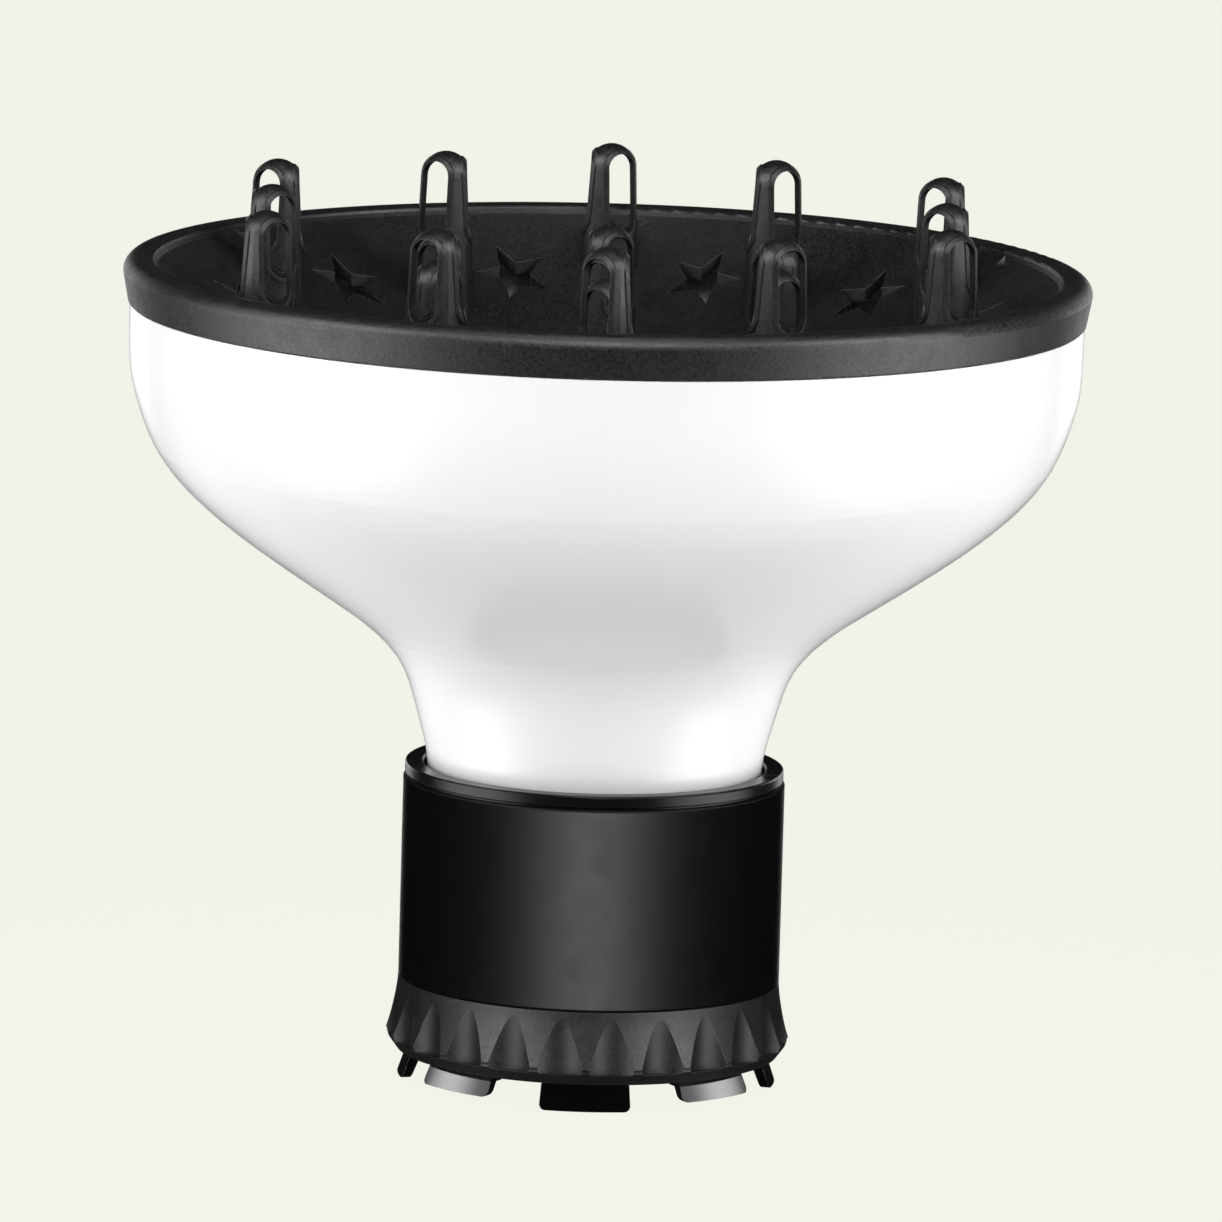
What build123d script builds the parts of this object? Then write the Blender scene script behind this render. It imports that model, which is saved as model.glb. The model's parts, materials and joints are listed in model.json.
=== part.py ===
from build123d import *
import math
import os

# Hair dryer diffuser: a wide bowl with a pronged dish on top, and under it an adapter whose
# eight jaws close on a dryer nozzle when the fluted ring is turned.
# Millimetres. Z is the axis of the bowl and of the nozzle, up. The origin is on that axis,
# at the level of the open jaws' feet, which the diffuser stands on.

# --- dish ---
RIM_RADIUS = 89.9           # outside of the black rim band at its top corner
RIM_FOOT_RADIUS = 88.9      # outside of the band at its lower edge
RIM_TOP = 152.8
RIM_FOOT = 144.8
RIM_LIP_RADIUS = 84.2       # inner edge of the rim's flat top
DISH_BOTTOM = 122.9         # top face of the dish on the axis
DISH_SPHERE = 138.0         # the dish's top face is part of a sphere
DISH_WALL = 2.0
PRONG_PITCH = 36.1          # the prongs stand on a hexagonal lattice
TALL_TOP = 166.4            # top of the twelve outer prongs
SHORT_TOP = 155.6           # top of the seven inner prongs
PRONG_TIP_RADIUS = 4.6
PRONG_FOOT_RADIUS = 5.6
PRONG_DRAFT_HEIGHT = 20.0   # height over which the prong widens from tip to foot radius
PRONG_WALL = 1.15
PRONG_ROOT = 12.0           # how far a prong's outline runs on below its draft height
WINDOW_WIDTH = 5.6
WINDOW_HEIGHT = 15.3
WINDOW_FRAME = 0.75         # width of the raised frame round each window
WINDOW_DROP = 1.65          # from the prong's tip down to the window's top
FRAME_HEIGHT = 0.25         # how far the frame stands out of the prong
WINDOW_REACH = 12.0         # length of the bar that cuts a window, from the prong's axis
STAR_RADIUS = 7.3
STAR_WAIST = 3.05           # radius of the star's inner corners
STAR_RING = 69.2            # ring of the twelve outer stars
STAR_DEPTH = 10.0           # how far the star cutters run above and below the dish
STAR_SWING = 15             # degrees from each side's middle to its two outer stars
RIM_CORNER = 2.6            # radius of the rim's outer top corner
LIP_CORNER = 0.8            # radius of the rim's inner top corner
LIP_DRAFT = 0.6             # how much the rim's inner wall leans in towards the dish
SKIRT_WALL_IN = 83.4        # the rim's inner skirt, under the edge of the dish
SKIRT_WALL_OUT = 85.0
BAND_INNER = 87.1           # inside of the rim band

# --- bowl ---
BOWL_WALL = 2.0
BOWL_OUTLINE = [            # (radius, height) of points up the outside of the bowl's flank
    (33.6, 69.4),
    (36.4, 77.2),
    (41.6, 83.6),
    (51.0, 90.6),
    (64.9, 100.0),
    (76.6, 109.4),
    (84.0, 118.9),
    (87.6, 129.0),
]
BOWL_TOP_RADIUS = 88.6      # outside of the bowl just under the rim band
BOWL_TOP = 144.5
NECK_TOP = 59.0             # where the neck's straight outside ends
NECK_RADIUS = 31.2          # outside of the neck where it plugs into the adapter
NECK_BORE = 29.0
NECK_END = 44.3
TONGUE_OUTER = 86.9         # the bowl's thin top edge, which the rim band covers
TONGUE_INNER = 85.3
TONGUE_TOP = 150.0
TONGUE_FOOT = 140.0         # where the bowl's inner face reaches the tongue
UNDER_RIM = 150.8           # underside of the rim's top wall
SCREWS = 3
FIRST_SCREW = 20            # degrees from +X to the first neck screw
SCREW_LEVEL = 50.0
SCREW_RADIUS = 1.2
SCREW_LENGTH = 3.6
SCREW_HEAD = 2.2
SCREW_HEAD_HEIGHT = 1.0
SCREW_SEAT = 32.9           # radius of the seats of the neck screws' heads
RECESS_WIDTH = 0.6          # one arm of the cross recess in a screw's head
RECESS_HALF = 1.4
RECESS_DEPTH = 0.6

# --- adapter ---
SLEEVE_RADIUS = 35.6
SLEEVE_BORE = 34.2
SLEEVE_FOOT = 18.9
SLEEVE_TOP = 56.5
COLLAR_RADIUS = 35.3
COLLAR_TOP = 59.2
COLLAR_EDGE = 0.35          # radius of the collar's top edge
COLLAR_BEVEL = 0.4          # bevels at the collar's bore and foot
COLLAR_GROOVE = 0.7         # depth of the groove at the collar's foot
COLLAR_GAP = 0.6            # dark gap between the collar and the neck
SLEEVE_BEVEL = 0.3
SOCKET_BORE = 31.3
SOCKET_FLOOR = 41.1
SOCKET_STEP = 0.9           # the hub's duct tube stands this deep in the socket's floor
FLANGE = 2.0
GASKET = 1.2
DUCT_RADIUS = 19.9          # air passage through the middle of the adapter
DUCT_TUBE = 21.1            # outside of the hub's duct tube
HUB_RADIUS = 32.6
HUB_FOOT = 33.0
HUB_TOP = 37.0
TRACK_FLOOR = 34.4          # floor of the eight radial tracks in the hub
CAM_FOOT = 37.2
CAM_TOP = 39.4
CAM_BORE = 21.4
SKIRT_RADIUS = 33.9
SKIRT_BORE = 32.9
SKIRT_FOOT = 10.0
SPRING_RADIUS = 26.0        # middle of the wave spring's strip
SPRING_WIDTH = 4.0
SPRING_THICKNESS = 0.35
SPRING_SWING = 0.4          # height of the waves over the strip's middle level
SPRING_WAVES = 4
SPRING_SPLIT = 4            # degrees from the split's middle to either end of the strip
RING_RADIUS = 37.6          # widest part of the fluted ring
RING_FOOT = 5.2
RING_TOP = 18.75
RING_BEVEL = 1.9            # the ring's lower edge is cut back by this much
RING_BEVEL_TOP = 2.3        # height of the bevel
RING_EDGE = 3.1             # height of the ring's widest line over its foot
RING_WAIST_RADIUS = 36.3    # a point half way up the flare
RING_WAIST = 13.4
FLUTES = 24
FLUTE_RADIUS = 6.2
FLUTE_WALL = 0.08           # least depth of ring left outside the sleeve's radius in a flute
SILL = 2.1                  # height of the flutes' floors over the ring's foot

# --- jaws ---
JAWS = 8
TRAVEL = 6.5                # each jaw moves this far inwards
TURN = math.radians(60)     # turn of the ring that closes the jaws
SCROLL = TRAVEL / TURN      # inward travel for each radian of turn
PIN_RADIUS = 1.2
PIN_CIRCLE = 30.2           # the follower pins' circle with the jaws open
SLOT_HALF = 1.35
GRIP_RADIUS = 29.0          # inner face of the pads with the jaws open
PAD_WALL = 1.2
JAW_WALL = 2.2
JAW_ARC = 28.0              # degrees of the circle that each jaw spans
FOOT_RADIUS = 35.3          # outside of a foot's lip at its lower edge
FOOT_NECK = 33.7            # outside of the lip at its upper end
FOOT_WALL = 1.7
FOOT_HEIGHT = 4.7
SHELF = 0.9                 # thickness of the shelf between a jaw and its foot's lip
FOOT_CORNER = 1.2           # rounding of the feet's lower end corners
DIAGONAL_FOOT = 1.2         # the four diagonal jaws end this much higher
JAW_TOP = 32.6
PAD_ARC = 25.0              # degrees of the circle that each pad spans
PAD_FOOT = 4.6
PAD_TOP = 27.0
CARRIAGE_IN = 28.0          # the sliders that carry the jaws, with the jaws open
CARRIAGE_OUT = 31.6
CARRIAGE_WIDTH = 12.0
TENON_IN = 29.6             # the neck between a slider and its jaw
TENON_OUT = 31.2
TENON_WIDTH = 6.0

GAP = 0.2                   # play round the jaw carriages
SKIM = 0.1                  # play over and under the jaw carriages
CLEAR = 1.0                 # how far a cutter runs past the face that it cuts


def spin(points):
    """The solid swept by an (r, z) outline turned once round the Z axis."""
    outline = make_face(Plane.XZ * Polyline(*points, close=True))
    return revolve(outline, Axis.Z)


def tube(outer, inner, low, high):
    """A plain ring between two radii and two heights."""
    return spin([(inner, low), (outer, low), (outer, high), (inner, high)])


def sector(outer, inner, degrees, low, high):
    """The part of a ring that spans the given angle, centred on +X."""
    half = math.radians(degrees / 2)
    reach = outer * 2
    side = reach * math.tan(half)
    wedge = make_face(Polyline((0, 0), (reach, -side), (reach, side), close=True))
    return tube(outer, inner, low, high) & extrude(Pos(0, 0, low) * wedge, high - low)


def block(x_low, x_high, width, low, high):
    """A box between two radii on +X, centred on Y."""
    box = Box(x_high - x_low, width, high - low)
    return Pos((x_low + x_high) / 2, 0, (low + high) / 2) * box


def post(radius, low, high):
    """An upright cylinder on the Z axis."""
    return Pos(0, 0, low) * extrude(Circle(radius), high - low)


def dish_height(radius):
    """Height of the dish's top face at a distance from the axis."""
    return DISH_BOTTOM + DISH_SPHERE - math.sqrt(DISH_SPHERE**2 - radius**2)


def lattice():
    """Places of the prongs, as (x, y, top, direction of the first window in degrees)."""
    places = []
    column = PRONG_PITCH * math.sqrt(3) / 2
    for i in range(-2, 3):
        rows = 5 - abs(i)
        for j in range(rows):
            x = i * column
            y = (j - (rows - 1) / 2) * PRONG_PITCH
            outer = abs(i) == 2 or j in (0, rows - 1)
            angle = round(math.degrees(math.atan2(y, x))) % 360
            places.append((x, y, TALL_TOP if outer else SHORT_TOP, angle // 60 * 60))
    return places


def finger(top, extra):
    """Outside of one prong on the Z axis, grown by extra: tapered, with a round tip."""
    tip = PRONG_TIP_RADIUS + extra
    shoulder = top + extra - tip
    length = PRONG_DRAFT_HEIGHT + PRONG_ROOT
    low = shoulder - length
    draft = (PRONG_FOOT_RADIUS - PRONG_TIP_RADIUS) / PRONG_DRAFT_HEIGHT
    with BuildPart() as built:
        with BuildSketch(Plane.XZ):
            with BuildLine():
                Polyline((0, low), (tip + draft * length, low), (tip, shoulder))
                CenterArc((0, shoulder), tip, 0, 90)
                Line((0, shoulder + tip), (0, low))
            make_face()
        revolve(axis=Axis.Z)
    return built.part


def obround_bar(grow, top):
    """A bar of window section that runs out from the prong's axis along +X."""
    width = WINDOW_WIDTH + 2 * grow
    height = WINDOW_HEIGHT + 2 * grow
    middle = top - WINDOW_DROP - WINDOW_HEIGHT / 2
    section = Plane.YZ * Rot(0, 0, 90) * SlotOverall(height, width)
    return Pos(0, 0, middle) * extrude(section, WINDOW_REACH)


def around(shape, count, first=0.0):
    """Copies of a shape turned evenly round the Z axis."""
    return [Rot(0, 0, first + 360 / count * k) * shape for k in range(count)]


def prong(top, foot):
    """One prong on the axis, as its outside with framed windows and the void that it holds."""
    to_rib = Rot(0, 0, 60)      # turns the surfaces' seams to the ribs, clear of the windows
    frame = obround_bar(WINDOW_FRAME, top) & (to_rib * finger(top, FRAME_HEIGHT))
    outside = to_rib * finger(top, 0) + around(frame, 3)
    tip = PRONG_TIP_RADIUS - PRONG_WALL
    shoulder = top - PRONG_WALL - tip
    low = foot - PRONG_ROOT
    draft = (PRONG_FOOT_RADIUS - PRONG_TIP_RADIUS) / PRONG_DRAFT_HEIGHT
    cone = spin([(0, low), (tip + draft * (shoulder - low), low), (tip, shoulder), (0, shoulder)])
    void = to_rib * cone + Pos(0, 0, shoulder) * to_rib * Sphere(tip)
    void = void + around(obround_bar(0, top), 3)
    return outside, void


def star(direction, low, high):
    """An upright five-pointed bar on the axis, with one point in the given direction."""
    points = []
    for k in range(10):
        angle = math.radians(direction + 36 * k)
        radius = STAR_RADIUS if k % 2 == 0 else STAR_WAIST
        points.append((radius * math.cos(angle), radius * math.sin(angle)))
    return extrude(Pos(0, 0, low) * make_face(Polyline(*points, close=True)), high - low)


def star_vents():
    """Star-shaped air holes: a ring of twelve, and two inner rings of six."""
    inner = PRONG_PITCH / math.sqrt(3)
    rings = []
    for k in range(12):
        side = 60 * (k // 2)
        rings.append((STAR_RING, side + (STAR_SWING if k % 2 else -STAR_SWING), side))
    for k in range(6):
        rings.append((inner, 60 * k, 60 * k))
        rings.append((2 * inner, 60 * k, 60 * k))
    vents = []
    for radius, angle, direction in rings:
        x = radius * math.cos(math.radians(angle))
        y = radius * math.sin(math.radians(angle))
        level = dish_height(radius)
        vents.append(Pos(x, y, 0) * star(direction, level - STAR_DEPTH, level + STAR_DEPTH))
    return vents


def diffuser_plate():
    """Black dish with its rim band, hollow windowed prongs and star vents."""
    corner = RIM_RADIUS - RIM_CORNER
    edge = RIM_LIP_RADIUS - LIP_DRAFT
    lip = dish_height(edge)
    slope = 0.2                 # the rim's top falls this much from its crown to the inner lip
    under = DISH_SPHERE + DISH_WALL
    centre = DISH_BOTTOM + DISH_SPHERE
    under_z = centre - math.sqrt(under**2 - SKIRT_WALL_IN**2)
    with BuildPart() as built:
        with BuildSketch(Plane.XZ):
            with BuildLine():
                Line((RIM_FOOT_RADIUS, RIM_FOOT), (RIM_RADIUS, RIM_TOP - RIM_CORNER))
                RadiusArc((RIM_RADIUS, RIM_TOP - RIM_CORNER), (corner, RIM_TOP), -RIM_CORNER)
                Line((corner, RIM_TOP), (RIM_LIP_RADIUS + LIP_CORNER, RIM_TOP - slope))
                RadiusArc(
                    (RIM_LIP_RADIUS + LIP_CORNER, RIM_TOP - slope),
                    (RIM_LIP_RADIUS, RIM_TOP - slope - LIP_CORNER),
                    -LIP_CORNER,
                )
                Line((RIM_LIP_RADIUS, RIM_TOP - slope - LIP_CORNER), (edge, lip))
                RadiusArc((edge, lip), (0, DISH_BOTTOM), DISH_SPHERE)
                Line((0, DISH_BOTTOM), (0, DISH_BOTTOM - DISH_WALL))
                RadiusArc((0, DISH_BOTTOM - DISH_WALL), (SKIRT_WALL_IN, under_z), -under)
                Polyline(
                    (SKIRT_WALL_IN, under_z),
                    (SKIRT_WALL_IN, RIM_FOOT),
                    (SKIRT_WALL_OUT, RIM_FOOT),
                    (SKIRT_WALL_OUT, UNDER_RIM),
                    (BAND_INNER, UNDER_RIM),
                    (BAND_INNER, RIM_FOOT),
                    (RIM_FOOT_RADIUS, RIM_FOOT),
                )
            make_face()
        revolve(axis=Axis.Z)
    plate = built.part
    above_dish = Pos(0, 0, centre) * Sphere(DISH_SPHERE + DISH_WALL / 2)
    bodies = []
    voids = []
    for x, y, top, direction in lattice():
        foot = dish_height(math.hypot(x, y))
        outside, void = prong(top, foot)
        place = Pos(x, y, 0) * Rot(0, 0, direction)
        bodies.append((place * outside) & above_dish)
        voids.append(place * void)
    return (plate + bodies) - voids - star_vents()


def inner_line(points, wall):
    """Points one wall's thickness inside an outline, beside each of its points but the ends."""
    moved = []
    for before, here, after in zip(points, points[1:], points[2:]):
        run = after[0] - before[0]
        rise = after[1] - before[1]
        length = math.hypot(run, rise)
        moved.append((here[0] - wall * rise / length, here[1] + wall * run / length))
    return moved


def quarters(curve):
    """A long curve as four shorter ones, end to end."""
    return [curve.trim(k / 4, (k + 1) / 4) for k in range(4)]


def bowl_shell():
    """White bowl with its neck: a curved wall, thinned at the top where the band covers it."""
    outside = [(NECK_RADIUS, NECK_TOP), *BOWL_OUTLINE, (BOWL_TOP_RADIUS, BOWL_TOP)]
    inside = inner_line(outside, BOWL_WALL)
    inside = [(NECK_BORE, NECK_TOP - 1), *inside, (TONGUE_INNER, TONGUE_FOOT)]
    flank = Spline(*outside, tangents=((0.1, 1), (0.02, 1)))
    lining = Spline(*inside, tangents=((0.1, 1), (0, 1)))
    tongue = Polyline(
        outside[-1],
        (TONGUE_OUTER, BOWL_TOP),
        (TONGUE_OUTER, TONGUE_TOP),
        (TONGUE_INNER, TONGUE_TOP),
        inside[-1],
    )
    neck = Polyline(inside[0], (NECK_BORE, NECK_END), (NECK_RADIUS, NECK_END), outside[0])
    edges = [*quarters(flank), *tongue.edges(), *quarters(lining), *neck.edges()]
    shell = revolve(make_face([Plane.XZ * edge for edge in edges]), Axis.Z)
    pilot = extrude(Plane.YZ * Circle(SCREW_RADIUS), NECK_RADIUS + CLEAR)
    return shell - around(Pos(0, 0, SCREW_LEVEL) * pilot, SCREWS, FIRST_SCREW)


def rim_seal():
    """Flat silicone ring between the bowl's top edge and the rim."""
    return tube(TONGUE_OUTER, TONGUE_INNER, TONGUE_TOP, UNDER_RIM)


def neck_screws():
    """Three screws that hold the bowl's neck in the socket, with cross recesses."""
    face = SCREW_SEAT + SCREW_HEAD_HEIGHT
    head = extrude(Plane.YZ.offset(SCREW_SEAT) * Circle(SCREW_HEAD), SCREW_HEAD_HEIGHT)
    tip = SCREW_SEAT + SCREW_HEAD_HEIGHT / 2 - SCREW_LENGTH
    shank = extrude(Plane.YZ.offset(tip) * Circle(SCREW_RADIUS), SCREW_LENGTH)
    slot = block(face - RECESS_DEPTH, face + CLEAR, RECESS_WIDTH, -RECESS_HALF, RECESS_HALF)
    cross = slot + Rot(90, 0, 0) * slot
    screw = Pos(0, 0, SCREW_LEVEL) * (head + shank - cross)
    return Compound(around(screw, SCREWS, FIRST_SCREW))


def neck_gasket():
    """Rubber ring under the end of the neck."""
    low = SOCKET_FLOOR + FLANGE
    return tube(SOCKET_BORE, NECK_BORE - CLEAR, low, low + GASKET)


def neck_socket():
    """Flanged cup that takes the bowl's neck and carries the sleeve and the hub."""
    cup = spin(
        [
            (DUCT_RADIUS, SOCKET_FLOOR + SOCKET_STEP),
            (DUCT_TUBE, SOCKET_FLOOR + SOCKET_STEP),
            (DUCT_TUBE, SOCKET_FLOOR),
            (SLEEVE_BORE, SOCKET_FLOOR),
            (SLEEVE_BORE, SLEEVE_TOP),
            (SOCKET_BORE, SLEEVE_TOP),
            (SOCKET_BORE, SOCKET_FLOOR + FLANGE),
            (DUCT_RADIUS, SOCKET_FLOOR + FLANGE),
        ]
    )
    hole = extrude(Plane.YZ * Circle(SCREW_RADIUS + GAP), SLEEVE_BORE + CLEAR)
    depth = SLEEVE_BORE + CLEAR - SCREW_SEAT
    seat = extrude(Plane.YZ.offset(SCREW_SEAT) * Circle(SCREW_HEAD + GAP), depth)
    cutter = Pos(0, 0, SCREW_LEVEL) * (hole + seat)
    return cup - around(cutter, SCREWS, FIRST_SCREW)


def collar_ring():
    """Glossy ring that closes the sleeve's top round the neck."""
    shoulder = COLLAR_RADIUS - COLLAR_EDGE
    edge_foot = COLLAR_TOP - COLLAR_EDGE
    groove = COLLAR_RADIUS - COLLAR_GROOVE
    bore = NECK_RADIUS + COLLAR_GAP
    with BuildPart() as built:
        with BuildSketch(Plane.XZ):
            with BuildLine():
                Polyline(
                    (shoulder, COLLAR_TOP),
                    (bore + COLLAR_BEVEL, COLLAR_TOP),
                    (bore, COLLAR_TOP - COLLAR_BEVEL),
                    (bore, SLEEVE_TOP),
                    (groove, SLEEVE_TOP),
                    (groove, SLEEVE_TOP + COLLAR_BEVEL),
                    (COLLAR_RADIUS, SLEEVE_TOP + COLLAR_GROOVE),
                    (COLLAR_RADIUS, edge_foot),
                )
                RadiusArc((COLLAR_RADIUS, edge_foot), (shoulder, COLLAR_TOP), -COLLAR_EDGE)
            make_face()
        revolve(axis=Axis.Z)
    return built.part


def outer_sleeve():
    """Plain outer sleeve of the adapter."""
    return spin(
        [
            (SLEEVE_BORE, SLEEVE_FOOT),
            (SLEEVE_RADIUS - SLEEVE_BEVEL, SLEEVE_FOOT),
            (SLEEVE_RADIUS, SLEEVE_FOOT + SLEEVE_BEVEL),
            (SLEEVE_RADIUS, SLEEVE_TOP - SLEEVE_BEVEL),
            (SLEEVE_RADIUS - SLEEVE_BEVEL, SLEEVE_TOP),
            (SLEEVE_BORE, SLEEVE_TOP),
        ]
    )


def guide_hub():
    """Fixed disc with eight radial tracks for the carriages, on the lower end of the duct tube."""
    disc = tube(HUB_RADIUS, DUCT_RADIUS, HUB_FOOT, HUB_TOP)
    duct = tube(DUCT_TUBE, DUCT_RADIUS, HUB_TOP, SOCKET_FLOOR + SOCKET_STEP)
    track_in = CARRIAGE_IN - TRAVEL - GAP
    track_width = CARRIAGE_WIDTH + 2 * GAP
    track = block(track_in, HUB_RADIUS + CLEAR, track_width, TRACK_FLOOR, HUB_TOP + CLEAR)
    slit_in = TENON_IN - TRAVEL - GAP
    slit_width = TENON_WIDTH + 2 * GAP
    slit = block(slit_in, TENON_OUT + GAP, slit_width, HUB_FOOT - CLEAR, HUB_TOP)
    return disc + duct - around(track + slit, JAWS)


def jaw_carriage():
    """Slider of one jaw, on +X: it rides in the hub's track, and its pin follows the scroll."""
    floor = TRACK_FLOOR + SKIM
    slider = block(CARRIAGE_IN, CARRIAGE_OUT, CARRIAGE_WIDTH, floor, HUB_TOP - SKIM)
    tenon = block(TENON_IN, TENON_OUT, TENON_WIDTH, JAW_TOP, floor)
    pin = Pos(PIN_CIRCLE, 0, 0) * post(PIN_RADIUS, HUB_TOP - SKIM, CAM_TOP - GAP)
    return slider + tenon + pin


def scroll_slot(low, high):
    """Spiral slot of one jaw: its middle line comes inwards by SCROLL for each radian of turn."""
    steps = 8
    outer = []
    inner = []
    for k in range(steps + 1):
        angle = -TURN * k / steps
        radius = PIN_CIRCLE + SCROLL * angle
        lean = math.atan2(SCROLL, radius)
        for side, offset in ((outer, SLOT_HALF), (inner, -SLOT_HALF)):
            x = radius + offset * math.cos(lean)
            y = -offset * math.sin(lean)
            side.append(
                (
                    x * math.cos(angle) - y * math.sin(angle),
                    x * math.sin(angle) + y * math.cos(angle),
                )
            )
    with BuildSketch(Plane.XY.offset(low)) as sketch:
        with BuildLine():
            Spline(*outer)
            Line(outer[-1], inner[-1])
            Spline(*reversed(inner))
            Line(inner[0], outer[0])
        make_face()
        for angle in (0, -TURN):
            radius = PIN_CIRCLE + SCROLL * angle
            with Locations((radius * math.cos(angle), radius * math.sin(angle))):
                Circle(SLOT_HALF)
    return extrude(sketch.sketch, high - low)


def scroll_cam():
    """Plate with eight spiral slots on top of the skirt that joins it to the fluted ring."""
    plate = tube(SKIRT_RADIUS, CAM_BORE, CAM_FOOT, CAM_TOP)
    skirt = tube(SKIRT_RADIUS, SKIRT_BORE, SKIRT_FOOT, CAM_FOOT)
    return plate + skirt - around(scroll_slot(CAM_FOOT - CLEAR, CAM_TOP + CLEAR), JAWS)


def wave_spring():
    """Thin wavy washer, split at one point, that presses the cam plate on the hub."""
    middle = (CAM_TOP + SOCKET_FLOOR) / 2
    steps = 40
    points = []
    for k in range(steps + 1):
        angle = math.radians(SPRING_SPLIT + (360 - 2 * SPRING_SPLIT) * k / steps)
        level = middle + SPRING_SWING * math.sin(SPRING_WAVES * angle)
        points.append((SPRING_RADIUS * math.cos(angle), SPRING_RADIUS * math.sin(angle), level))
    path = Spline(*points)
    start = Plane(origin=path @ 0, x_dir=(1, 0, 0), z_dir=path % 0)
    section = (start * Rectangle(SPRING_WIDTH, SPRING_THICKNESS)).face()
    return Solid.sweep(section, Wire([path]))


def twist_ring():
    """Fluted ring that the hand turns: it flares towards the jaws and ends in a bevel."""
    bore = SKIRT_RADIUS
    foot = (RING_RADIUS - RING_BEVEL, RING_FOOT)
    bevel_end = (RING_RADIUS - 0.2, RING_FOOT + RING_BEVEL_TOP)
    widest = (RING_RADIUS, RING_FOOT + RING_EDGE)
    top = (SLEEVE_RADIUS, RING_TOP)
    with BuildSketch(Plane.XZ) as outline:
        with BuildLine():
            Polyline((bore, RING_FOOT), foot, bevel_end)
            RadiusArc(bevel_end, widest, 0.9)
            Spline(widest, (RING_WAIST_RADIUS, RING_WAIST), top, tangents=((-0.36, 1), (-0.03, 1)))
            Polyline(top, (bore, RING_TOP), (bore, RING_FOOT))
        make_face()
    half = 180 / FLUTES
    stave = Rot(0, 0, -half) * revolve(outline.sketch, Axis.Z, 2 * half)
    middle = SLEEVE_RADIUS + FLUTE_WALL + FLUTE_RADIUS
    flute = Pos(middle, 0, 0) * post(FLUTE_RADIUS, RING_FOOT + SILL, RING_TOP + CLEAR)
    return Part() + around(stave - flute, FLUTES, half)


def jaw(level):
    """One gripping jaw on +X: a curved finger, and a shelf with a flared lip down to a level."""
    inner = GRIP_RADIUS + PAD_WALL
    outer = inner + JAW_WALL
    shelf_foot = FOOT_HEIGHT - SHELF
    outline = Polyline(
        (inner, shelf_foot),
        (FOOT_NECK - FOOT_WALL, shelf_foot),
        (FOOT_RADIUS - FOOT_WALL, level),
        (FOOT_RADIUS, level),
        (FOOT_NECK, FOOT_HEIGHT),
        (outer, FOOT_HEIGHT),
        (outer, JAW_TOP),
        (inner, JAW_TOP),
        close=True,
    )
    body = revolve(make_face(Plane.XZ * outline), Axis.Z, JAW_ARC)
    corners = body.faces().sort_by(Axis.Z)[0].edges().filter_by(GeomType.LINE)
    return Rot(0, 0, -JAW_ARC / 2) * fillet(corners, FOOT_CORNER)


def grip_pad():
    """Soft pad on the inner face of one jaw."""
    return sector(GRIP_RADIUS + PAD_WALL, GRIP_RADIUS, PAD_ARC, PAD_FOOT, PAD_TOP)


def write(name, shape):
    """Save one sub-part under its own name."""
    export_step(shape, f"parts/{name}.step")


os.makedirs("parts", exist_ok=True)
write("diffuser_plate", diffuser_plate())
write("bowl_shell", bowl_shell())
write("rim_seal", rim_seal())
write("neck_screws", neck_screws())
write("neck_gasket", neck_gasket())
write("neck_socket", neck_socket())
write("collar_ring", collar_ring())
write("outer_sleeve", outer_sleeve())
write("guide_hub", guide_hub())
write("scroll_cam", scroll_cam())
write("wave_spring", wave_spring())
write("twist_ring", twist_ring())
for number in range(JAWS):
    turn = Rot(0, 0, 360 / JAWS * number - 90)
    write(f"jaw_{number + 1}", turn * jaw(DIAGONAL_FOOT * (number % 2)))
    write(f"jaw_carriage_{number + 1}", turn * jaw_carriage())
    write(f"grip_pad_{number + 1}", turn * grip_pad())
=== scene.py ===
import json
import math

import bpy
from mathutils import Matrix, Vector

# A dryer diffuser on a plain pale floor. All its shapes come from the CAD nodes, and this script
# gives them their materials, and adds the camera, the floor and the lights. Metres; +Z is up.

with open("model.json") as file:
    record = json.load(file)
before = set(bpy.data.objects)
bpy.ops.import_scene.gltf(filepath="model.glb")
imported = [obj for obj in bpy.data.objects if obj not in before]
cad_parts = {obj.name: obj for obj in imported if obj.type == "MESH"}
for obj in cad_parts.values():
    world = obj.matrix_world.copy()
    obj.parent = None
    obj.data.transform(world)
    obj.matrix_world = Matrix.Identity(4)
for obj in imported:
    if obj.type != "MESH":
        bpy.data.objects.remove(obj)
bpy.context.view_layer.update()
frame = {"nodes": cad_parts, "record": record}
nodes = frame["nodes"]

# ---------------------------------------------------------------- camera
ELEVATION = math.radians(9.40)          # how far above the horizon the camera stands
ROLL = math.radians(-1.6266)
DISTANCE = 2.5395
TARGET = Vector((0.0, 0.0, 0.0880))     # the point that the camera looks at
SIDE_STEP = 0.00227                     # the camera's step to its own right
SENSOR = 36.0                           # mm
LENS = 401.9                            # mm
CLIP_START = 0.05
CLIP_END = 50.0


def add_camera():
    """Camera in front of the object, along +Y, with a small roll about its own line of sight."""
    right = Vector((1, 0, 0))
    up = Vector((0, math.sin(ELEVATION), math.cos(ELEVATION)))
    ahead = Vector((0, math.cos(ELEVATION), -math.sin(ELEVATION)))
    rolled_right = math.cos(ROLL) * right - math.sin(ROLL) * up
    rolled_up = math.sin(ROLL) * right + math.cos(ROLL) * up
    data = bpy.data.cameras.new("camera")
    data.sensor_width = SENSOR
    data.lens = LENS
    data.clip_start = CLIP_START
    data.clip_end = CLIP_END
    camera = bpy.data.objects.new("camera", data)
    turn = Matrix((rolled_right, rolled_up, -ahead)).transposed().to_4x4()
    place = TARGET - DISTANCE * ahead + SIDE_STEP * rolled_right
    camera.matrix_world = Matrix.Translation(place) @ turn
    bpy.context.scene.collection.objects.link(camera)
    bpy.context.scene.camera = camera


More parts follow.
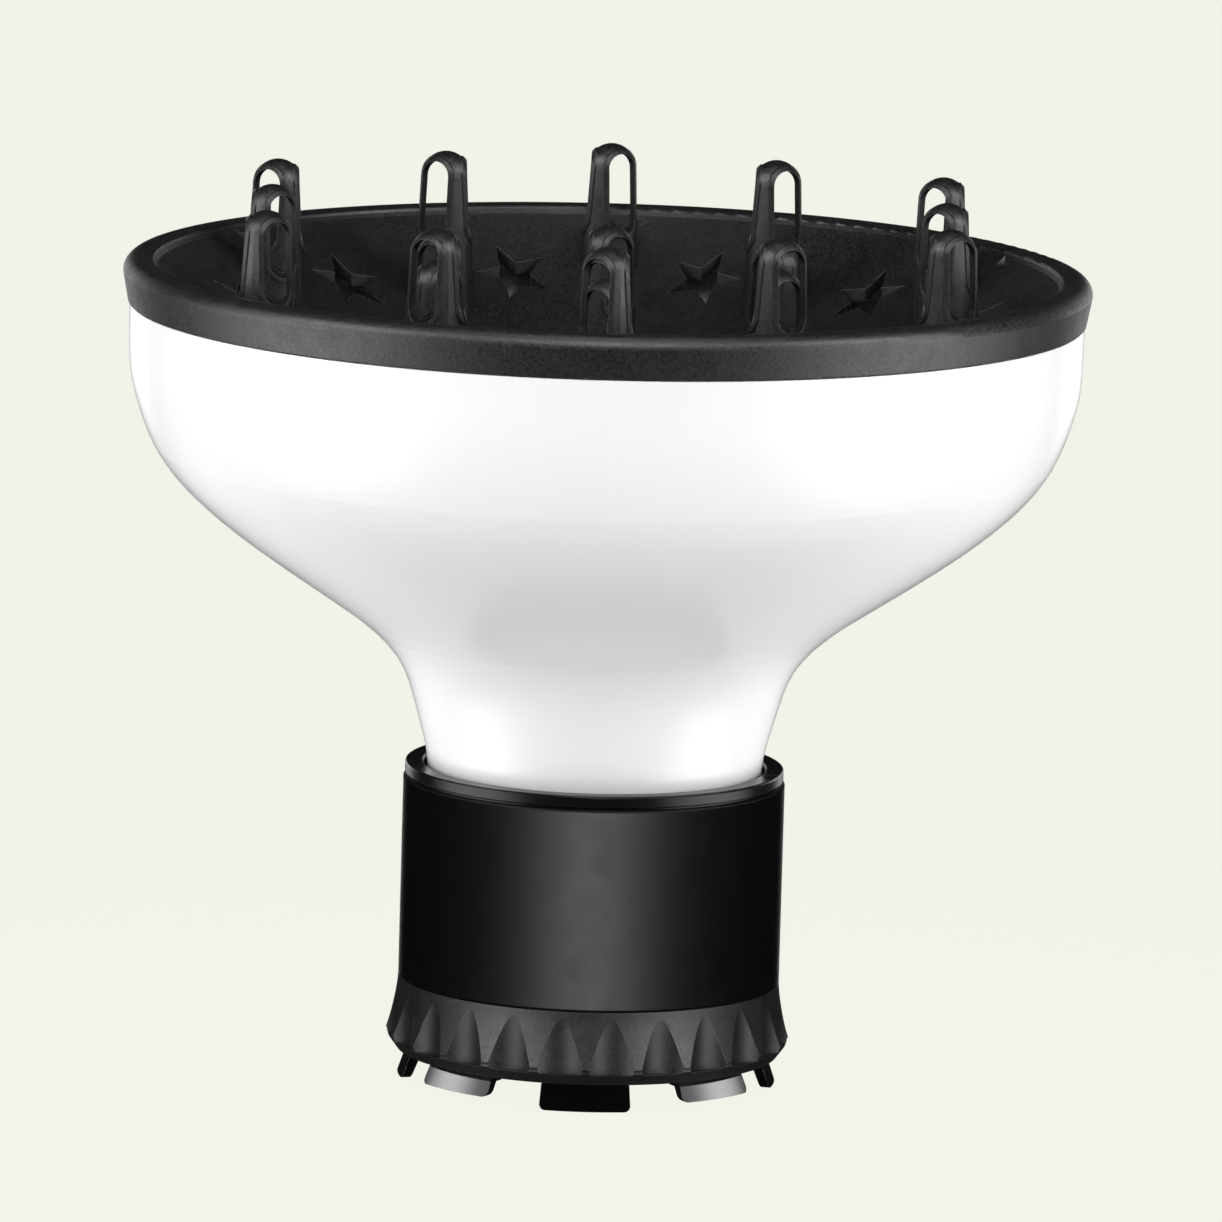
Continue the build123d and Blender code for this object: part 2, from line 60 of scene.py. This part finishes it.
# ---------------------------------------------------------------- materials
PLASTIC_IOR = 1.5
COAT_ROUGHNESS = 0.04
WEAR_RADIUS = 0.00018       # reach of the worn, slightly rounded edges
WEAR_START = 0.995          # cosine between rounded and flat normal where wear starts
WEAR_FULL = 0.86            # and where it is complete
SHINE = 0.5                 # the shader's usual specular level


class Nodes:
    """Short way to build a node tree for one material."""

    def __init__(self, name):
        self.material = bpy.data.materials.new(name)
        self.material.use_nodes = True
        self.tree = self.material.node_tree
        self.tree.nodes.clear()
        self.shader = self.tree.nodes.new("ShaderNodeBsdfPrincipled")
        output = self.tree.nodes.new("ShaderNodeOutputMaterial")
        self.tree.links.new(self.shader.outputs[0], output.inputs[0])
        self.place = self.add("ShaderNodeTexCoord").outputs["Object"]

    def add(self, kind, **settings):
        node = self.tree.nodes.new(kind)
        for key, value in settings.items():
            setattr(node, key, value)
        return node

    def join(self, source, target):
        self.tree.links.new(source, target)

    def noise(self, scale, detail=2.0, rough=0.5, stretch=(1, 1, 1)):
        """Noise value; scale is in features per metre."""
        mapping = self.add("ShaderNodeMapping")
        mapping.inputs["Scale"].default_value = stretch
        self.join(self.place, mapping.inputs["Vector"])
        node = self.add("ShaderNodeTexNoise")
        node.inputs["Scale"].default_value = scale
        node.inputs["Detail"].default_value = detail
        node.inputs["Roughness"].default_value = rough
        self.join(mapping.outputs[0], node.inputs["Vector"])
        return node.outputs["Fac"]

    def ramp(self, value, low, high, start, end):
        """value mapped from low..high to start..end, clamped."""
        node = self.add("ShaderNodeMapRange")
        node.inputs["From Min"].default_value = low
        node.inputs["From Max"].default_value = high
        node.inputs["To Min"].default_value = start
        node.inputs["To Max"].default_value = end
        self.join(value, node.inputs["Value"])
        return node.outputs[0]

    def math(self, kind, a, b):
        """One sum or product of two values."""
        node = self.add("ShaderNodeMath", operation=kind)
        self.join(a, node.inputs[0])
        self.join(b, node.inputs[1])
        return node.outputs[0]

    def mix(self, factor, dark, light):
        """Colour between dark, which is a colour or a socket, and the colour light."""
        node = self.add("ShaderNodeMix", data_type="RGBA")
        if isinstance(dark, tuple):
            node.inputs[6].default_value = (*dark, 1)
        else:
            self.join(dark, node.inputs[6])
        node.inputs[7].default_value = (*light, 1)
        self.join(factor, node.inputs[0])
        return node.outputs[2]

    def edges(self):
        """A value that rises from 0 on flat faces to 1 on edges, and the rounded normal."""
        bevel = self.add("ShaderNodeBevel", samples=4)
        bevel.inputs["Radius"].default_value = WEAR_RADIUS
        flat = self.add("ShaderNodeNewGeometry")
        dot = self.add("ShaderNodeVectorMath", operation="DOT_PRODUCT")
        self.join(bevel.outputs[0], dot.inputs[0])
        self.join(flat.outputs["Normal"], dot.inputs[1])
        return self.ramp(dot.outputs["Value"], WEAR_START, WEAR_FULL, 0.0, 1.0), bevel.outputs[0]

    def bump(self, height, distance, normal=None):
        node = self.add("ShaderNodeBump")
        node.inputs["Distance"].default_value = distance
        self.join(height, node.inputs["Height"])
        if normal is not None:
            self.join(normal, node.inputs["Normal"])
        return node.outputs[0]

    def set(self, name, value):
        socket = self.shader.inputs[name]
        if isinstance(value, (int, float, tuple)):
            socket.default_value = value
        else:
            self.join(value, socket)


def grey(value, blue=0.0):
    """A neutral colour, or with blue a slightly cooler one."""
    return (value, value, value + blue)


def plastic(name, dark, light, wear, rough, swing, grain, depth,
            shine=SHINE, coat=0.0, speckle=0.0):
    """Moulded plastic: mottled colour, uneven gloss, fine grain and paler worn edges.

    The colour runs from dark to light, and to wear on the edges. The roughness swings about
    rough. grain is in features per metre and depth is its height. A speckled plastic has its
    colour and its gloss in fine grit, and the others have wide soft patches.
    """
    m = Nodes(name)
    worn, rounded = m.edges()
    if speckle:
        patches = m.ramp(m.noise(1700, 2, 0.7), 0.36, 0.64, 0.0, 1.0)
    else:
        patches = m.noise(90, 3)
    colour = m.mix(patches, dark, light)
    breakup = m.ramp(m.noise(900, 2), 0.35, 0.65, 0.15, 1.0)
    m.set("Base Color", m.mix(m.math("MULTIPLY", worn, breakup), colour, wear))
    gloss = m.ramp(m.noise(220, 4, 0.6), 0.3, 0.7, rough - swing, rough + swing)
    if speckle:
        gloss = m.math("ADD", gloss, m.ramp(m.noise(1500, 3, 0.7), 0.3, 0.7, -speckle, speckle))
    m.set("Roughness", gloss)
    m.set("Normal", m.bump(m.noise(grain, 2, 0.6), depth, rounded))
    m.set("IOR", PLASTIC_IOR)
    m.set("Specular IOR Level", shine)
    if coat:
        m.set("Coat Weight", coat)
        m.set("Coat Roughness", COAT_ROUGHNESS)
    return m.material


def steel():
    """Stainless steel with its brushing along the length of each piece."""
    m = Nodes("steel")
    streaks = m.noise(1500, 3, 0.6, (1, 1, 12))
    m.set("Base Color", m.mix(m.noise(300, 2), grey(0.5, 0.01), grey(0.62)))
    m.set("Metallic", 1.0)
    m.set("Roughness", m.ramp(streaks, 0.3, 0.7, 0.22, 0.4))
    m.set("Normal", m.bump(streaks, 0.000004))
    return m.material


materials = {
    "black_satin": plastic(
        "black_satin", (0.0005, 0.0005, 0.0007), (0.012, 0.012, 0.0125), grey(0.03, 0.001),
        rough=0.43, swing=0.05, grain=2600, depth=0.00004, speckle=0.07),
    "white_gloss": plastic(
        "white_gloss", (0.85, 0.853, 0.855), (0.875, 0.877, 0.878), grey(0.9),
        rough=0.14, swing=0.02, grain=60, depth=0.00002, shine=0.36),
    "black_gloss": plastic(
        "black_gloss", grey(0.003), grey(0.005), grey(0.02),
        rough=0.12, swing=0.03, grain=2500, depth=0.000002, coat=0.9),
    "black_sleeve": plastic(
        "black_sleeve", (0.0016, 0.0014, 0.0015), (0.0024, 0.0021, 0.0023), grey(0.02),
        rough=0.5, swing=0.03, grain=7000, depth=0.000006),
    "black_grip": plastic(
        "black_grip", grey(0.002), grey(0.011), grey(0.03),
        rough=0.47, swing=0.05, grain=2600, depth=0.00002, speckle=0.06),
    "black_nylon": plastic(
        "black_nylon", grey(0.02, 0.001), grey(0.026, 0.001), grey(0.05),
        rough=0.5, swing=0.06, grain=4000, depth=0.00001),
    "grey_acetal": plastic(
        "grey_acetal", grey(0.3, 0.01), grey(0.36, 0.01), grey(0.45),
        rough=0.4, swing=0.06, grain=3000, depth=0.00001),
    "rubber": plastic(
        "rubber", grey(0.03, 0.001), grey(0.04, 0.002), grey(0.06),
        rough=0.75, swing=0.08, grain=2500, depth=0.00003),
    "steel": steel(),
}
collar_gloss = plastic(
    "collar_gloss", grey(0.003), grey(0.005), grey(0.03),
    rough=0.24, swing=0.05, grain=2500, depth=0.000004, shine=0.22)


def dress():
    """Give each CAD node the material of its slot. The collar is gloss too, with a softer shine."""
    slot_of = {row["node"]: row["material_slot"] for row in frame["record"]["subparts"]}
    for name, piece in nodes.items():
        piece.data.materials.clear()
        piece.data.materials.append(
            collar_gloss if name == "collar_ring" else materials[slot_of[name]])


# ---------------------------------------------------------------- floor
FLOOR_SHADE = (0.868, 0.893, 0.805)     # the floor as the camera sees it
FLOOR_GLOW = 1.0                        # strength of that shade
FLOOR_REACH = 7.0                       # radius of the wall
FLOOR_CORNER = 2.0                      # radius of the bend from floor to wall
FLOOR_HEIGHT = 6.0                      # top of the wall
FLOOR_INNER = (0.4, 1.2)                # rings of vertices on the flat part
FLOOR_SIDES = 96
CORNER_STEPS = 12


def floor_mesh():
    """A round floor that turns up into a wall all round."""
    flat = FLOOR_REACH - FLOOR_CORNER
    line = [(r, 0.0) for r in (*FLOOR_INNER, flat)]
    for k in range(1, CORNER_STEPS + 1):
        a = math.radians(90 * k / CORNER_STEPS)
        line.append((flat + FLOOR_CORNER * math.sin(a), FLOOR_CORNER * (1 - math.cos(a))))
    line.append((FLOOR_REACH, FLOOR_HEIGHT))
    vertices = [(0, 0, 0)]
    for r, z in line:
        for k in range(FLOOR_SIDES):
            a = 2 * math.pi * k / FLOOR_SIDES
            vertices.append((r * math.cos(a), r * math.sin(a), z))
    faces = [(0, 1 + k, 1 + (k + 1) % FLOOR_SIDES) for k in range(FLOOR_SIDES)]
    for row in range(len(line) - 1):
        low = 1 + row * FLOOR_SIDES
        high = low + FLOOR_SIDES
        for k in range(FLOOR_SIDES):
            n = (k + 1) % FLOOR_SIDES
            faces.append((low + k, high + k, high + n, low + n))
    mesh = bpy.data.meshes.new("stage")
    mesh.from_pydata(vertices, [], faces)
    for polygon in mesh.polygons:
        polygon.use_smooth = True
    return mesh


def add_stage():
    """Pale floor and wall that the camera sees and that neither light nor shadow changes."""
    stage = bpy.data.objects.new("stage", floor_mesh())
    bpy.context.scene.collection.objects.link(stage)
    m = Nodes("pale_floor")
    m.set("Base Color", m.mix(m.noise(6, 4), (0.10, 0.105, 0.09), (0.13, 0.135, 0.12)))
    m.set("Roughness", 0.9)
    m.set("Specular IOR Level", 0.0)
    m.set("Emission Color", (*FLOOR_SHADE, 1))
    m.set("Emission Strength", FLOOR_GLOW)
    stage.data.materials.append(m.material)
    stage.visible_glossy = False
    stage.visible_diffuse = False
    stage.visible_shadow = False
    return stage


# ---------------------------------------------------------------- light
CORE = 0.15                             # middle part of each light that has its full strength
CENTRE = Vector((0.0, 0.0, 0.09))       # what the lights aim at
WORLD_GREY = 0.5
WORLD_STRENGTH = 0.012


def link_group(name, members, state):
    """A set of objects that a light reaches alone (INCLUDE), or doesn't reach (EXCLUDE)."""
    group = bpy.data.collections.new(name)
    for member in members:
        group.objects.link(member)
    for row in group.collection_objects:
        row.light_linking.link_state = state
    return group


def soften(light_data):
    """Make a light fade from full in its core to dark at its edge."""
    light_data.use_nodes = True
    tree = light_data.node_tree
    place = tree.nodes.new("ShaderNodeNewGeometry")
    middle = tree.nodes.new("ShaderNodeVectorMath")
    middle.operation = "SUBTRACT"
    middle.inputs[1].default_value = (0.5, 0.5, 0.0)
    tree.links.new(place.outputs["Parametric"], middle.inputs[0])
    length = tree.nodes.new("ShaderNodeVectorMath")
    length.operation = "LENGTH"
    tree.links.new(middle.outputs[0], length.inputs[0])
    fade = tree.nodes.new("ShaderNodeMapRange")
    fade.interpolation_type = "SMOOTHSTEP"
    fade.inputs["From Min"].default_value = 0.5 * CORE
    fade.inputs["From Max"].default_value = 0.5
    fade.inputs["To Min"].default_value = 1.0
    fade.inputs["To Max"].default_value = 0.0
    tree.links.new(length.outputs["Value"], fade.inputs["Value"])
    tree.links.new(fade.outputs[0], tree.nodes["Emission"].inputs["Strength"])


def add_light(name, azimuth, elevation, distance, size, radiance, group):
    """Soft box that stands at this azimuth (0 = in front, + = to the right) and elevation."""
    a, e = math.radians(azimuth), math.radians(elevation)
    away = Vector((math.sin(a) * math.cos(e), -math.cos(a) * math.cos(e), math.sin(e)))
    data = bpy.data.lights.new(name, "AREA")
    data.shape = "RECTANGLE"
    data.size, data.size_y = size
    data.energy = radiance * math.pi * data.size * data.size_y
    light = bpy.data.objects.new(name, data)
    light.location = CENTRE + away * distance
    light.rotation_euler = (-away).to_track_quat("-Z", "Y").to_euler()
    light.visible_camera = False
    soften(data)
    light.light_linking.receiver_collection = group
    bpy.context.scene.collection.objects.link(light)


def add_world():
    """A very faint even light from all round."""
    world = bpy.data.worlds.new("world")
    bpy.context.scene.world = world
    world.use_nodes = True
    background = world.node_tree.nodes["Background"]
    background.inputs["Color"].default_value = (*grey(WORLD_GREY), 1)
    background.inputs["Strength"].default_value = WORLD_STRENGTH


def add_lights(stage):
    """Soft boxes all round. Most of them reach only some of the pieces, so each piece can have
    the gradient of light that suits its shape. None of them reaches the floor."""
    grip = [nodes["twist_ring"]]
    sleeve = [nodes["outer_sleeve"]]
    jaws = [nodes[f"jaw_{k}"] for k in range(1, 9)]
    low = link_group("all_but_sleeve_and_jaws", sleeve + grip + jaws + [stage], "EXCLUDE")
    most = link_group("all_but_sleeve", sleeve + grip + [stage], "EXCLUDE")
    only_bowl = link_group("bowl_only", [nodes["bowl_shell"]], "INCLUDE")
    only_plate = link_group("plate_only", [nodes["diffuser_plate"]], "INCLUDE")
    only_grip = link_group("grip_only", grip, "INCLUDE")
    only_jaws = link_group("jaws_only", jaws, "INCLUDE")
    only_sleeve = link_group("sleeve_only", sleeve, "INCLUDE")

    # name, azimuth, elevation, distance, (width, height), radiance, pieces that it reaches
    middle_lights = (
        ("front_top", 0, 40, 1.5, (1.7, 1.5), 7.0, low),
        ("bounce", 0, -90, 0.39, (3.0, 3.0), 0.28, low),
        ("sleeve_front", 0, -2, 1.5, (2.5, 1.3), 7.8, only_sleeve),
        ("sleeve_back", 180, -12, 1.6, (1.1, 1.2), 7.0, only_sleeve),
        ("grip_back", 180, 10, 1.6, (1.6, 1.4), 3.0, only_grip),
    )
    paired_lights = (
        ("side", 75, -8, 1.6, (2.6, 3.2), 4.7, most),
        ("back", 155, 0, 1.8, (1.3, 1.3), 1.9, low),
        ("jaw", 95, 12, 1.4, (1.3, 1.2), 4.3, only_jaws),
        ("bowl_edge", 145, -35, 1.3, (1.8, 1.6), 0.5, only_bowl),
        ("grip", 48, 16, 1.6, (2.0, 1.6), 9.0, only_grip),
        ("grip_low", 62, -24, 1.6, (1.9, 2.0), 2.6, only_grip),
        ("dish", 66, 34, 1.6, (1.2, 1.2), 10.0, only_plate),
        ("dish_top", 40, 78, 1.6, (0.7, 0.7), 4.0, only_plate),
    )
    for row in middle_lights:
        add_light(*row)
    for name, azimuth, *row in paired_lights:
        for side in (-1, 1):
            add_light(f"{name}_{side}", azimuth * side, *row)


dress()
add_camera()
add_world()
add_lights(add_stage())
bpy.context.scene.view_settings.view_transform = "Standard"
